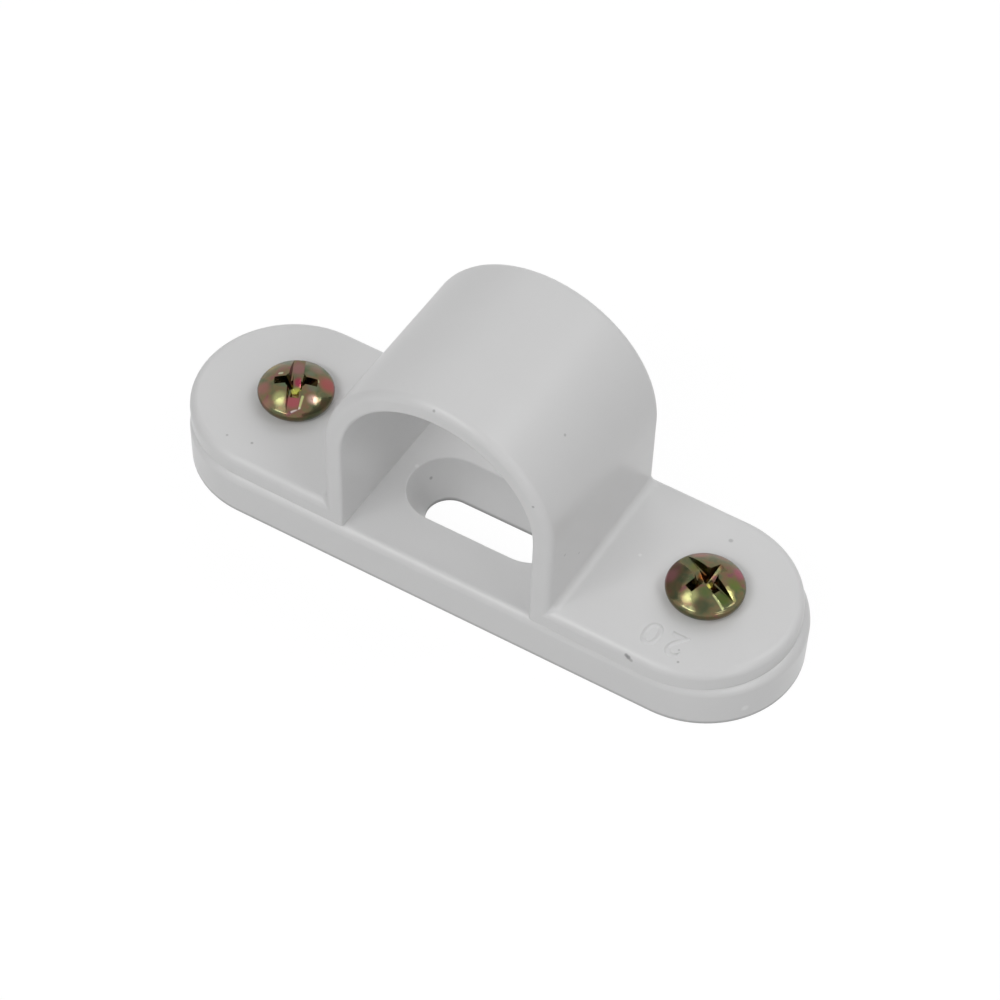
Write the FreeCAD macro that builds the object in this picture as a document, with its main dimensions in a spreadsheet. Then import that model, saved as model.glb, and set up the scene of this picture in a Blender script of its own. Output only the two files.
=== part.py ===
import FreeCAD, Part
import math
import os
import Sketcher

# Spacer saddle for round conduit, in millimetres.
# X runs along the saddle, Y along the conduit, Z up from the wall.
# The origin is the middle of the underside of the spacer base.

driving_sizes = {
    # spacer base: the bar that holds the conduit off the wall
    "base_length": 65.4,
    "base_width": 19.9,
    "base_height": 4.9,
    "base_top_bevel": 0.4,
    "base_foot_bevel": 0.2,
    # slot for the wall screw, sunk so that its head stays below the conduit
    "slot_length": 14.2,
    "slot_width": 4.9,
    "slot_land": 0.8,
    "sink_end_margin": 2.0,
    "sink_side_margin": 1.2,
    # saddle strap: two feet and the arch over the conduit
    "conduit_diameter": 20.0,
    "conduit_clearance": 0.2,
    "conduit_lift": 0.3,
    "saddle_wall": 2.1,
    "saddle_rounding": 0.9,
    "bore_bevel": 0.3,
    "foot_thickness": 2.1,
    "rounding_step": 0.1,
    "end_step": 0.3,
    "side_step": 0.05,
    # how the strap was left on the base: turned, and pushed to one side
    "fixing_turn": -0.65,
    "fixing_offset": 0.15,
    "fixing_shift": 0.14,
    "push_gap": 0.15,
    # cover screws: combination pan heads
    "screw_inset": 10.14,
    "screw_diameter": 4.0,
    "screw_clearance": 0.74,
    "tip_recess": 0.8,
    "tip_chamfer": 0.4,
    "head_radius": 3.75,
    "head_height": 2.1,
    "seat_radius": 3.45,
    "rim_height": 0.55,
    "brow_inset": 0.13,
    "brow_height": 1.05,
    "crown_inset": 0.6,
    "crown_height": 1.47,
    # driver recess: one long slot and a shorter cross arm
    "recess_slot_length": 6.3,
    "recess_slot_width": 1.3,
    "recess_slot_depth": 1.0,
    "recess_arm_length": 4.1,
    "recess_arm_width": 0.95,
    "recess_arm_depth": 1.3,
    "recess_core_radius": 0.85,
    "recess_core_depth": 1.65,
    "left_slot_angle": 118.0,
    "right_slot_angle": -23.0,
    # brass inserts: threaded bushes let into the base from below
    "insert_radius": 2.8,
    "insert_groove_depth": 0.3,
    "insert_groove_width": 0.9,
    "insert_gap": 0.02,
    "insert_recess": 0.2,
    "insert_cover": 0.7,
    "thread_gap": 0.03,
    "shank_gap": 0.15,
}

# Sizes that follow from the driving ones, as formulas for the features.
bore_radius = "(Sizes.conduit_diameter / 2 + Sizes.conduit_clearance)"
saddle_radius = "(" + bore_radius + " + Sizes.saddle_wall)"
foot_rounding = "(Sizes.saddle_rounding - Sizes.rounding_step)"
conduit_height = "(Sizes.conduit_diameter / 2 + Sizes.conduit_lift)"
strap_length = "(Sizes.base_length - 2 * Sizes.end_step)"
strap_width = "(Sizes.base_width - 2 * Sizes.side_step)"
strap_shift = "(Sizes.push_gap - Sizes.screw_clearance + Sizes.fixing_shift)"
screw_spacing = "(Sizes.base_length - 2 * Sizes.screw_inset)"
shank_radius = "(Sizes.screw_diameter / 2)"
seat_level = "(Sizes.base_height + Sizes.foot_thickness)"
screw_length = "(" + seat_level + " - Sizes.tip_recess)"
insert_top = "(Sizes.base_height - Sizes.insert_cover)"
insert_length = "(" + insert_top + " - Sizes.insert_recess)"
screw_reach = "(" + screw_spacing + " / 2 * cos(Sizes.fixing_turn * 1 deg))"
screw_drift = "(" + screw_spacing + " / 2 * sin(Sizes.fixing_turn * 1 deg))"

doc = FreeCAD.newDocument("SpacerSaddle")
sheet = doc.addObject("Spreadsheet::Sheet", "Sizes")
for row, (alias, value) in enumerate(driving_sizes.items(), start=1):
    sheet.set("A%d" % row, alias)
    sheet.set("B%d" % row, str(value))
    sheet.setAlias("B%d" % row, alias)
doc.recompute()


def size(alias):
    return getattr(sheet, alias)


def origin_plane(body, role):
    for feature in body.Origin.OriginFeatures:
        if feature.Role == role:
            return feature
    raise RuntimeError("no plane " + role)


def new_sketch(body, name, role="XY_Plane", level=None):
    """A sketch on one of the body's own planes, lifted to a level."""
    sketch = body.newObject("Sketcher::SketchObject", name)
    sketch.AttachmentSupport = [(origin_plane(body, role), "")]
    sketch.MapMode = "FlatFace"
    if level is not None:
        sketch.setExpression("AttachmentOffset.Base.z", level)
    return sketch


def bind(sketch, name, constraint, formula):
    """Add one sized constraint and tie it to a formula."""
    index = sketch.addConstraint(constraint)
    sketch.renameConstraint(index, name)
    sketch.setExpression("Constraints." + name, formula)


def draw_stadium(sketch, length, width, length_now, width_now):
    """A slot outline about the origin, along X, from its length and width."""
    end = width_now / 2
    reach = (length_now - width_now) / 2
    up = FreeCAD.Vector(0, 0, 1)
    right_end = Part.Circle(FreeCAD.Vector(reach, 0, 0), up, end)
    left_end = Part.Circle(FreeCAD.Vector(-reach, 0, 0), up, end)
    sketch.addGeometry(Part.ArcOfCircle(right_end, -math.pi / 2, math.pi / 2))
    sketch.addGeometry(Part.LineSegment(FreeCAD.Vector(reach, end, 0), FreeCAD.Vector(-reach, end, 0)))
    sketch.addGeometry(Part.ArcOfCircle(left_end, math.pi / 2, 3 * math.pi / 2))
    sketch.addGeometry(Part.LineSegment(FreeCAD.Vector(-reach, -end, 0), FreeCAD.Vector(reach, -end, 0)))
    for first, second in ((0, 1), (1, 2), (2, 3), (3, 0)):
        sketch.addConstraint(Sketcher.Constraint("Tangent", first, 2, second, 1))
    sketch.addConstraint(Sketcher.Constraint("Horizontal", 1))
    sketch.addConstraint(Sketcher.Constraint("Symmetric", 0, 3, 2, 3, -1, 1))
    bind(sketch, "end_radius", Sketcher.Constraint("Radius", 0, end), width + " / 2")
    centres = Sketcher.Constraint("DistanceX", 2, 3, 0, 3, 2 * reach)
    bind(sketch, "centre_distance", centres, "(" + length + ") - (" + width + ")")


def draw_screw_holes(sketch, radius, radius_now):
    """Two equal circles at the screws' places."""
    reach = size("base_length") / 2 - size("screw_inset")
    up = FreeCAD.Vector(0, 0, 1)
    for place in (reach, -reach):
        sketch.addGeometry(Part.Circle(FreeCAD.Vector(place, 0, 0), up, radius_now))
    sketch.addConstraint(Sketcher.Constraint("Equal", 0, 1))
    sketch.addConstraint(Sketcher.Constraint("Symmetric", 0, 3, 1, 3, -1, 1))
    sketch.addConstraint(Sketcher.Constraint("PointOnObject", 0, 3, -1))
    bind(sketch, "hole_radius", Sketcher.Constraint("Radius", 0, radius_now), radius)
    bind(sketch, "spacing", Sketcher.Constraint("DistanceX", 1, 3, 0, 3, 2 * reach), screw_spacing)


def turn_with_strap(placed, path):
    """Turn and push back a sketch or a body as the strap lies on the base."""
    up = FreeCAD.Vector(0, 0, 1)
    turned = FreeCAD.Rotation(up, size("fixing_turn"))
    if path == "AttachmentOffset":
        placed.AttachmentOffset.Rotation = turned
    else:
        placed.Placement.Rotation = turned
    placed.setExpression(path + ".Rotation.Angle", "Sizes.fixing_turn")
    placed.setExpression(path + ".Base.x", "Sizes.fixing_shift")
    placed.setExpression(path + ".Base.y", "Sizes.fixing_offset")


def draw_arch(sketch, radius, radius_now, height_now):
    """An upright U turned over: two legs from the seat and a half circle on top."""
    crown = Part.Circle(FreeCAD.Vector(0, height_now, 0), FreeCAD.Vector(0, 0, 1), radius_now)
    corners = [(radius_now, height_now), (radius_now, 0), (-radius_now, 0), (-radius_now, height_now)]
    points = [FreeCAD.Vector(x, y, 0) for x, y in corners]
    sketch.addGeometry(Part.ArcOfCircle(crown, 0, math.pi))
    sketch.addGeometry(Part.LineSegment(points[3], points[2]))
    sketch.addGeometry(Part.LineSegment(points[2], points[1]))
    sketch.addGeometry(Part.LineSegment(points[1], points[0]))
    sketch.addConstraint(Sketcher.Constraint("Tangent", 0, 2, 1, 1))
    sketch.addConstraint(Sketcher.Constraint("Coincident", 1, 2, 2, 1))
    sketch.addConstraint(Sketcher.Constraint("Coincident", 2, 2, 3, 1))
    sketch.addConstraint(Sketcher.Constraint("Tangent", 3, 2, 0, 1))
    sketch.addConstraint(Sketcher.Constraint("Vertical", 1))
    sketch.addConstraint(Sketcher.Constraint("Horizontal", 2))
    sketch.addConstraint(Sketcher.Constraint("PointOnObject", 2, 1, -1))
    sketch.addConstraint(Sketcher.Constraint("PointOnObject", 0, 3, -2))
    bind(sketch, "crown_radius", Sketcher.Constraint("Radius", 0, radius_now), radius)
    crown_height = Sketcher.Constraint("DistanceY", -1, 1, 0, 3, height_now)
    bind(sketch, "crown_height", crown_height, conduit_height)


def pad(body, name, sketch, length, symmetric=False):
    feature = body.newObject("PartDesign::Pad", name)
    feature.Profile = sketch
    feature.Midplane = symmetric
    feature.setExpression("Length", length)
    doc.recompute()
    return feature


def pocket(body, name, sketch, depth=None, upward=False, symmetric=False):
    """Cut a sketch through everything, or to a depth; upward cuts towards +Z."""
    before = body.Shape.Volume
    feature = body.newObject("PartDesign::Pocket", name)
    feature.Profile = sketch
    feature.Reversed = upward
    feature.Midplane = symmetric
    if depth is None:
        feature.Type = "ThroughAll"
    else:
        feature.setExpression("Length", depth)
    doc.recompute()
    if body.Shape.Volume >= before:
        raise RuntimeError(name + " cuts nothing")
    return feature


def dress(body, name, chosen, amount, kind="Fillet"):
    """Round or bevel the edges of the body's last feature that the test picks."""
    carrier = body.Tip
    names = ["Edge%d" % (i + 1) for i, edge in enumerate(carrier.Shape.Edges) if chosen(edge)]
    if not names:
        raise RuntimeError(name + " finds no edge")
    feature = body.newObject("PartDesign::" + kind, name)
    feature.Base = (carrier, names)
    feature.setExpression("Radius" if kind == "Fillet" else "Size", amount)
    doc.recompute()
    return feature


near = 1e-4


def lies_at(edge, level):
    box = edge.BoundBox
    return abs(box.ZMin - level) < near and abs(box.ZMax - level) < near


def spans_y(edge, place):
    box = edge.BoundBox
    return abs(box.YMin - place) < near and abs(box.YMax - place) < near


# Spacer base

base = doc.addObject("PartDesign::Body", "SpacerBase")
base.Label = "spacer_base"
outline = new_sketch(base, "BaseOutline")
draw_stadium(outline, "Sizes.base_length", "Sizes.base_width", size("base_length"), size("base_width"))
pad(base, "BasePlate", outline, "Sizes.base_height")


def on_base_outline(edge):
    """True for the edges of the plate's own outline."""
    reach = size("base_length") / 2 - size("base_width") / 2
    middle = edge.valueAt((edge.FirstParameter + edge.LastParameter) / 2)
    beyond = max(abs(middle.x) - reach, 0)
    return abs(math.hypot(beyond, middle.y) - size("base_width") / 2) < near


def on_base_top(edge):
    return lies_at(edge, size("base_height")) and on_base_outline(edge)


def on_base_foot(edge):
    return lies_at(edge, 0) and on_base_outline(edge)


dress(base, "BaseTopBevel", on_base_top, "Sizes.base_top_bevel", kind="Chamfer")
dress(base, "BaseFootBevel", on_base_foot, "Sizes.base_foot_bevel", kind="Chamfer")

slot = new_sketch(base, "WallSlot")
draw_stadium(slot, "Sizes.slot_length", "Sizes.slot_width", size("slot_length"), size("slot_width"))
pocket(base, "WallSlotCut", slot, upward=True)

sink_low = new_sketch(base, "SinkLow", level="Sizes.slot_land")
draw_stadium(sink_low, "Sizes.slot_length", "Sizes.slot_width", size("slot_length"), size("slot_width"))
sink_high = new_sketch(base, "SinkHigh", level="Sizes.base_height")
sink_length = "Sizes.slot_length + 2 * Sizes.sink_end_margin"
sink_width = "(Sizes.slot_width + 2 * Sizes.sink_side_margin)"
sink_length_now = size("slot_length") + 2 * size("sink_end_margin")
sink_width_now = size("slot_width") + 2 * size("sink_side_margin")
draw_stadium(sink_high, sink_length, sink_width, sink_length_now, sink_width_now)
volume_before_sink = base.Shape.Volume
sink = base.newObject("PartDesign::SubtractiveLoft", "SlotSink")
sink.Profile = sink_low
sink.Sections = [sink_high]
sink.Ruled = True
doc.recompute()
if base.Shape.Volume >= volume_before_sink:
    raise RuntimeError("SlotSink cuts nothing")

insert_seats = new_sketch(base, "InsertSeats")
insert_seat_radius = "Sizes.insert_radius + Sizes.insert_gap"
draw_screw_holes(insert_seats, insert_seat_radius, size("insert_radius") + size("insert_gap"))
turn_with_strap(insert_seats, "AttachmentOffset")
pocket(base, "InsertSeatCut", insert_seats, depth=insert_top, upward=True)
shank_holes = new_sketch(base, "ShankHoles")
draw_screw_holes(shank_holes, shank_radius + " + Sizes.shank_gap", size("screw_diameter") / 2 + size("shank_gap"))
turn_with_strap(shank_holes, "AttachmentOffset")
pocket(base, "ShankHoleCut", shank_holes, upward=True)

# Saddle strap: modelled with its own feet on z = 0, then set on the base

strap = doc.addObject("PartDesign::Body", "SaddleStrap")
strap.Label = "saddle_strap"
strap_length_now = size("base_length") - 2 * size("end_step")
strap_width_now = size("base_width") - 2 * size("side_step")
bore_radius_now = size("conduit_diameter") / 2 + size("conduit_clearance")
saddle_radius_now = bore_radius_now + size("saddle_wall")
conduit_height_now = size("conduit_diameter") / 2 + size("conduit_lift")
foot_rounding_now = size("saddle_rounding") - size("rounding_step")

feet = new_sketch(strap, "FeetOutline")
draw_stadium(feet, strap_length, strap_width, strap_length_now, strap_width_now)
pad(strap, "FeetPlate", feet, "Sizes.foot_thickness")
dress(strap, "FeetRounding", lambda edge: lies_at(edge, size("foot_thickness")), foot_rounding)

arch = new_sketch(strap, "ArchOutside", role="XZ_Plane")
draw_arch(arch, saddle_radius, saddle_radius_now, conduit_height_now)
pad(strap, "ArchBlock", arch, strap_width, symmetric=True)


def on_arch_rim(edge):
    """True for the arch's outer edges on its front and back faces."""
    on_face = spans_y(edge, strap_width_now / 2) or spans_y(edge, -strap_width_now / 2)
    middle = edge.valueAt((edge.FirstParameter + edge.LastParameter) / 2)
    above = max(middle.z - conduit_height_now, 0)
    on_outside = abs(math.hypot(middle.x, above) - saddle_radius_now) < near
    return on_face and on_outside and middle.z > size("foot_thickness") - foot_rounding_now


dress(strap, "ArchRounding", on_arch_rim, "Sizes.saddle_rounding")

bore = new_sketch(strap, "ArchInside", role="XZ_Plane")
draw_arch(bore, bore_radius, bore_radius_now, conduit_height_now)
pocket(strap, "ConduitOpening", bore, symmetric=True)


def on_bore_mouth(edge):
    """True for the opening's edges on its front and back faces, from the seat up."""
    on_face = spans_y(edge, strap_width_now / 2) or spans_y(edge, -strap_width_now / 2)
    middle = edge.valueAt((edge.FirstParameter + edge.LastParameter) / 2)
    above = max(middle.z - conduit_height_now, 0)
    on_inside = abs(math.hypot(middle.x, above) - bore_radius_now) < near
    return on_face and on_inside


dress(strap, "BoreBevel", on_bore_mouth, "Sizes.bore_bevel", kind="Chamfer")

strap_holes = new_sketch(strap, "StrapHoles")
strap_hole_radius = size("screw_diameter") / 2 + size("screw_clearance")
draw_screw_holes(strap_holes, shank_radius + " + Sizes.screw_clearance", strap_hole_radius)
pocket(strap, "StrapHoleCut", strap_holes, upward=True)

turn_with_strap(strap, "Placement")
strap.setExpression("Placement.Base.x", strap_shift)
strap.setExpression("Placement.Base.z", "Sizes.base_height")

# Cover screws: modelled with the underside of the head on z = 0


def make_screw(name, label, side, slot_angle):
    body = doc.addObject("PartDesign::Body", name)
    body.Label = label
    head = size("head_radius")
    rim = size("rim_height")
    top = size("head_height")
    brow = (head - size("brow_inset"), size("brow_height"))
    edge = (head - size("crown_inset"), size("crown_height"))
    seat = size("seat_radius")
    shank = size("screw_diameter") / 2
    tip = size("tip_chamfer")
    depth = size("base_height") + size("foot_thickness") - size("tip_recess")
    # two bevels lead up from the rim to the crown, a flat arc round the screw's axis
    drop = top - edge[1]
    crown = (edge[0] * edge[0] + drop * drop) / (2 * drop)
    turn = math.atan2(crown - drop, edge[0])
    up = FreeCAD.Vector(0, 0, 1)
    crown_circle = Part.Circle(FreeCAD.Vector(0, top - crown, 0), up, crown)

    profile = new_sketch(body, name + "Profile", role="XZ_Plane")
    corners = [(0, top), (0, -depth), (shank - tip, -depth), (shank, tip - depth)]
    corners += [(shank, 0), (seat, 0), (head, rim), brow, edge]
    points = [FreeCAD.Vector(x, y, 0) for x, y in corners]
    for start, end in zip(points, points[1:]):
        profile.addGeometry(Part.LineSegment(start, end))
    profile.addGeometry(Part.ArcOfCircle(crown_circle, turn, math.pi / 2))
    for line in range(7):
        profile.addConstraint(Sketcher.Constraint("Coincident", line, 2, line + 1, 1))
    profile.addConstraint(Sketcher.Constraint("Coincident", 7, 2, 8, 1))
    profile.addConstraint(Sketcher.Constraint("Coincident", 8, 2, 0, 1))
    profile.addConstraint(Sketcher.Constraint("PointOnObject", 0, 1, -2))
    profile.addConstraint(Sketcher.Constraint("PointOnObject", 0, 2, -2))
    profile.addConstraint(Sketcher.Constraint("PointOnObject", 8, 3, -2))
    profile.addConstraint(Sketcher.Constraint("Horizontal", 1))
    profile.addConstraint(Sketcher.Constraint("Vertical", 3))
    profile.addConstraint(Sketcher.Constraint("PointOnObject", 4, 1, -1))
    profile.addConstraint(Sketcher.Constraint("PointOnObject", 4, 2, -1))
    bind(profile, "head_top", Sketcher.Constraint("DistanceY", -1, 1, 0, 1, top), "Sizes.head_height")
    bind(profile, "shank_end", Sketcher.Constraint("DistanceY", 0, 2, -1, 1, depth), screw_length)
    bind(profile, "shank_side", Sketcher.Constraint("DistanceX", -1, 1, 4, 1, shank), shank_radius)
    bind(profile, "tip_side", Sketcher.Constraint("DistanceX", 2, 1, 2, 2, tip), "Sizes.tip_chamfer")
    bind(profile, "tip_rise", Sketcher.Constraint("DistanceY", 2, 1, 2, 2, tip), "Sizes.tip_chamfer")
    bind(profile, "seat_side", Sketcher.Constraint("DistanceX", -1, 1, 4, 2, seat), "Sizes.seat_radius")
    bind(profile, "rim_side", Sketcher.Constraint("DistanceX", -1, 1, 5, 2, head), "Sizes.head_radius")
    bind(profile, "rim_level", Sketcher.Constraint("DistanceY", -1, 1, 5, 2, rim), "Sizes.rim_height")
    inward = (("brow", 6, brow), ("crown", 7, edge))
    for part, line, place in inward:
        reach = Sketcher.Constraint("DistanceX", -1, 1, line, 2, place[0])
        rise = Sketcher.Constraint("DistanceY", -1, 1, line, 2, place[1])
        bind(profile, part + "_reach", reach, "Sizes.head_radius - Sizes.%s_inset" % part)
        bind(profile, part + "_rise", rise, "Sizes.%s_height" % part)

    turned = body.newObject("PartDesign::Revolution", name + "Turned")
    turned.Profile = profile
    turned.ReferenceAxis = (profile, ["V_Axis"])
    turned.Angle = 360
    doc.recompute()

    slot_cut = new_sketch(body, name + "Slot", level="Sizes.head_height")
    slot_sizes = (size("recess_slot_length"), size("recess_slot_width"))
    draw_stadium(slot_cut, "Sizes.recess_slot_length", "Sizes.recess_slot_width", *slot_sizes)
    pocket(body, name + "SlotCut", slot_cut, depth="Sizes.recess_slot_depth")
    arm_cut = new_sketch(body, name + "Arm", level="Sizes.head_height")
    arm_sizes = (size("recess_arm_length"), size("recess_arm_width"))
    draw_stadium(arm_cut, "Sizes.recess_arm_length", "Sizes.recess_arm_width", *arm_sizes)
    arm_cut.AttachmentOffset.Rotation = FreeCAD.Rotation(up, 90)
    arm_cut.setExpression("AttachmentOffset.Rotation.Angle", "90")
    pocket(body, name + "ArmCut", arm_cut, depth="Sizes.recess_arm_depth")
    core_cut = new_sketch(body, name + "Core", level="Sizes.head_height")
    core = size("recess_core_radius")
    core_cut.addGeometry(Part.Circle(FreeCAD.Vector(0, 0, 0), up, core))
    core_cut.addConstraint(Sketcher.Constraint("Coincident", 0, 3, -1, 1))
    bind(core_cut, "core_radius", Sketcher.Constraint("Radius", 0, core), "Sizes.recess_core_radius")
    pocket(body, name + "CoreCut", core_cut, depth="Sizes.recess_core_depth")

    body.Placement.Rotation = FreeCAD.Rotation(up, size(slot_angle))
    body.setExpression("Placement.Rotation.Angle", "Sizes." + slot_angle)
    body.setExpression("Placement.Base.x", side + screw_reach + " + Sizes.fixing_shift")
    body.setExpression("Placement.Base.y", side + screw_drift + " + Sizes.fixing_offset")
    body.setExpression("Placement.Base.z", seat_level)
    return body


# Brass inserts: modelled with their lower end on z = 0


def make_insert(name, label, side):
    body = doc.addObject("PartDesign::Body", name)
    body.Label = label
    up = FreeCAD.Vector(0, 0, 1)
    outside = size("insert_radius")
    inside = size("screw_diameter") / 2 + size("thread_gap")
    ring = new_sketch(body, name + "Ring")
    ring.addGeometry(Part.Circle(FreeCAD.Vector(0, 0, 0), up, outside))
    ring.addGeometry(Part.Circle(FreeCAD.Vector(0, 0, 0), up, inside))
    ring.addConstraint(Sketcher.Constraint("Coincident", 0, 3, -1, 1))
    ring.addConstraint(Sketcher.Constraint("Coincident", 1, 3, -1, 1))
    bind(ring, "outside", Sketcher.Constraint("Radius", 0, outside), "Sizes.insert_radius")
    bind(ring, "inside", Sketcher.Constraint("Radius", 1, inside), shank_radius + " + Sizes.thread_gap")
    pad(body, name + "Tube", ring, insert_length)

    # a groove round the middle, where the plastic grips
    waist = size("insert_radius") - size("insert_groove_depth")
    groove_low = "(" + insert_length + " - Sizes.insert_groove_width) / 2"
    band = new_sketch(body, name + "Waist", level=groove_low)
    band.addGeometry(Part.Circle(FreeCAD.Vector(0, 0, 0), up, outside + size("insert_gap")))
    band.addGeometry(Part.Circle(FreeCAD.Vector(0, 0, 0), up, waist))
    band.addConstraint(Sketcher.Constraint("Coincident", 0, 3, -1, 1))
    band.addConstraint(Sketcher.Constraint("Coincident", 1, 3, -1, 1))
    rim_formula = "Sizes.insert_radius + Sizes.insert_gap"
    waist_formula = "Sizes.insert_radius - Sizes.insert_groove_depth"
    bind(band, "rim", Sketcher.Constraint("Radius", 0, outside + size("insert_gap")), rim_formula)
    bind(band, "waist", Sketcher.Constraint("Radius", 1, waist), waist_formula)
    pocket(body, name + "WaistCut", band, depth="Sizes.insert_groove_width", upward=True)
    body.setExpression("Placement.Base.x", side + screw_reach + " + Sizes.fixing_shift")
    body.setExpression("Placement.Base.y", side + screw_drift + " + Sizes.fixing_offset")
    body.setExpression("Placement.Base.z", "Sizes.insert_recess")
    return body


screws = [
    make_screw("ScrewLeft", "screw_left", "-", "left_slot_angle"),
    make_screw("ScrewRight", "screw_right", "", "right_slot_angle"),
]
inserts = [
    make_insert("InsertLeft", "insert_left", "-"),
    make_insert("InsertRight", "insert_right", ""),
]
doc.recompute()

pieces = [base, strap] + screws + inserts

for item in doc.Objects:
    if "Invalid" in item.State or "Error" in item.State:
        raise RuntimeError("%s did not compute" % item.Name)
for piece in pieces:
    shape = piece.Shape
    if shape.isNull() or not shape.isValid() or len(shape.Solids) != 1:
        raise RuntimeError("%s is not one sound solid" % piece.Label)

os.makedirs("parts", exist_ok=True)
for piece in pieces:
    piece.Shape.exportStep("parts/%s.step" % piece.Label)
    print("%-14s %8.1f cubic mm" % (piece.Label, piece.Shape.Volume))
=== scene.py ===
import math
import bmesh
import bpy
from mathutils import Matrix, Vector


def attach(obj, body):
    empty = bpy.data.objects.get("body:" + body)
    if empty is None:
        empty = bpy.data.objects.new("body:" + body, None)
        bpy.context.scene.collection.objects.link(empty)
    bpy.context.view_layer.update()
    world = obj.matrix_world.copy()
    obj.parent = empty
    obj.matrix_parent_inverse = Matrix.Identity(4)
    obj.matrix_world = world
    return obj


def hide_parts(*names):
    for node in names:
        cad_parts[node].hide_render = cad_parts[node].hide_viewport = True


# Spacer saddle: a white moulded base bar and strap, held together by two yellow passivated screws.
# X runs along the saddle, Y along the conduit, Z up from the wall. Blender's unit is the metre.

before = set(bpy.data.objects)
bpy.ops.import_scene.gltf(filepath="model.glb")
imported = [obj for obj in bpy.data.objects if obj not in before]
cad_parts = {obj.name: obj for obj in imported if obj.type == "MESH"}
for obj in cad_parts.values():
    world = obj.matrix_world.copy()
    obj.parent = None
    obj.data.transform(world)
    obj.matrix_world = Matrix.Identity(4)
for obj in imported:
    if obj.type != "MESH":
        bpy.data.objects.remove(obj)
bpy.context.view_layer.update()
print("frame loaded:", ", ".join(sorted(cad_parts)))


millimetresPerMetre = 1000
mergeDistance = 0.0005      # mm, closer vertices become one
levelTolerance = 0.001      # mm, for picking edges on a flat face
outlineTolerance = 0.002    # mm, on a round-ended outline
roundTolerance = 0.01       # mm, on a round surface
overrun = 0.5               # mm, how far a cutter reaches past the face it cuts


def mm(value):
    return value / millimetresPerMetre


def linearColour(hexColour):
    # sRGB hex to the linear values that a shader takes
    channels = [int(hexColour[i:i + 2], 16) / 255 for i in (1, 3, 5)]
    return [c / 12.92 if c <= 0.04045 else ((c + 0.055) / 1.055) ** 2.4 for c in channels] + [1.0]


def addNode(tree, kind, settings=None, inputs=None, stops=None):
    # one node: its settings, its sockets as values or links, and a ramp's stops as (place, hex)
    node = tree.nodes.new(kind)
    for name, value in (settings or {}).items():
        setattr(node, name, value)
    for socket, value in (inputs or {}).items():
        if isinstance(value, bpy.types.NodeSocket):
            tree.links.new(value, node.inputs[socket])
        else:
            node.inputs[socket].default_value = value
    for number, (place, hexColour) in enumerate(stops or []):
        elements = node.color_ramp.elements
        element = elements[number] if number < len(elements) else elements.new(place)
        element.position = place
        element.color = linearColour(hexColour)
    return node


def newMaterial(name):
    # an empty material with its output node and Object coordinates in millimetres
    material = bpy.data.materials.new(name)
    material.use_nodes = True
    tree = material.node_tree
    tree.nodes.clear()
    place = addNode(tree, "ShaderNodeTexCoord")
    mapping = addNode(tree, "ShaderNodeMapping",
                      inputs={"Vector": place.outputs["Object"], "Scale": [millimetresPerMetre] * 3})
    output = addNode(tree, "ShaderNodeOutputMaterial")
    return material, tree, mapping.outputs["Vector"], output


mixFactor, mixFirst, mixSecond, mixResult = 0, 6, 7, 2  # a colour Mix node's sockets
patchCore = 0.3   # share of a patch's radius inside which it is full


def awayFrom(tree, place, centre):
    # the distance from a point, or from a streak given by its two ends
    if not isinstance(centre[0], tuple):
        return addNode(tree, "ShaderNodeVectorMath", {"operation": "DISTANCE"}, {0: place, 1: centre})
    start = Vector(centre[0])
    along = Vector(centre[1]) - start
    offset = addNode(tree, "ShaderNodeVectorMath", {"operation": "SUBTRACT"}, {0: place, 1: start})
    share = addNode(tree, "ShaderNodeVectorMath", {"operation": "DOT_PRODUCT"},
                    {0: offset.outputs["Vector"], 1: along / along.length_squared})
    held = addNode(tree, "ShaderNodeMath", {"operation": "ADD", "use_clamp": True},
                   {0: share.outputs["Value"], 1: 0})
    nearest = addNode(tree, "ShaderNodeVectorMath", {"operation": "SCALE"},
                      {0: along, "Scale": held.outputs[0]})
    return addNode(tree, "ShaderNodeVectorMath", {"operation": "DISTANCE"},
                   {0: offset.outputs["Vector"], 1: nearest.outputs["Vector"]})


def patched(tree, place, colour, patches):
    # soft patches of another colour, each as (place or streak in mm, radius in mm, share, hex)
    for centre, radius, share, hexColour in patches:
        away = awayFrom(tree, place, centre)
        within = addNode(tree, "ShaderNodeMapRange", {"interpolation_type": "SMOOTHSTEP"},
                         {"Value": away.outputs["Value"], "From Min": radius, "From Max": patchCore * radius,
                          "To Min": 0, "To Max": share})
        mixed = addNode(tree, "ShaderNodeMix", {"data_type": "RGBA"},
                        {mixFactor: within.outputs["Result"], mixFirst: colour,
                         mixSecond: linearColour(hexColour)})
        colour = mixed.outputs[mixResult]
    return colour


# Moulded uPVC

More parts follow.
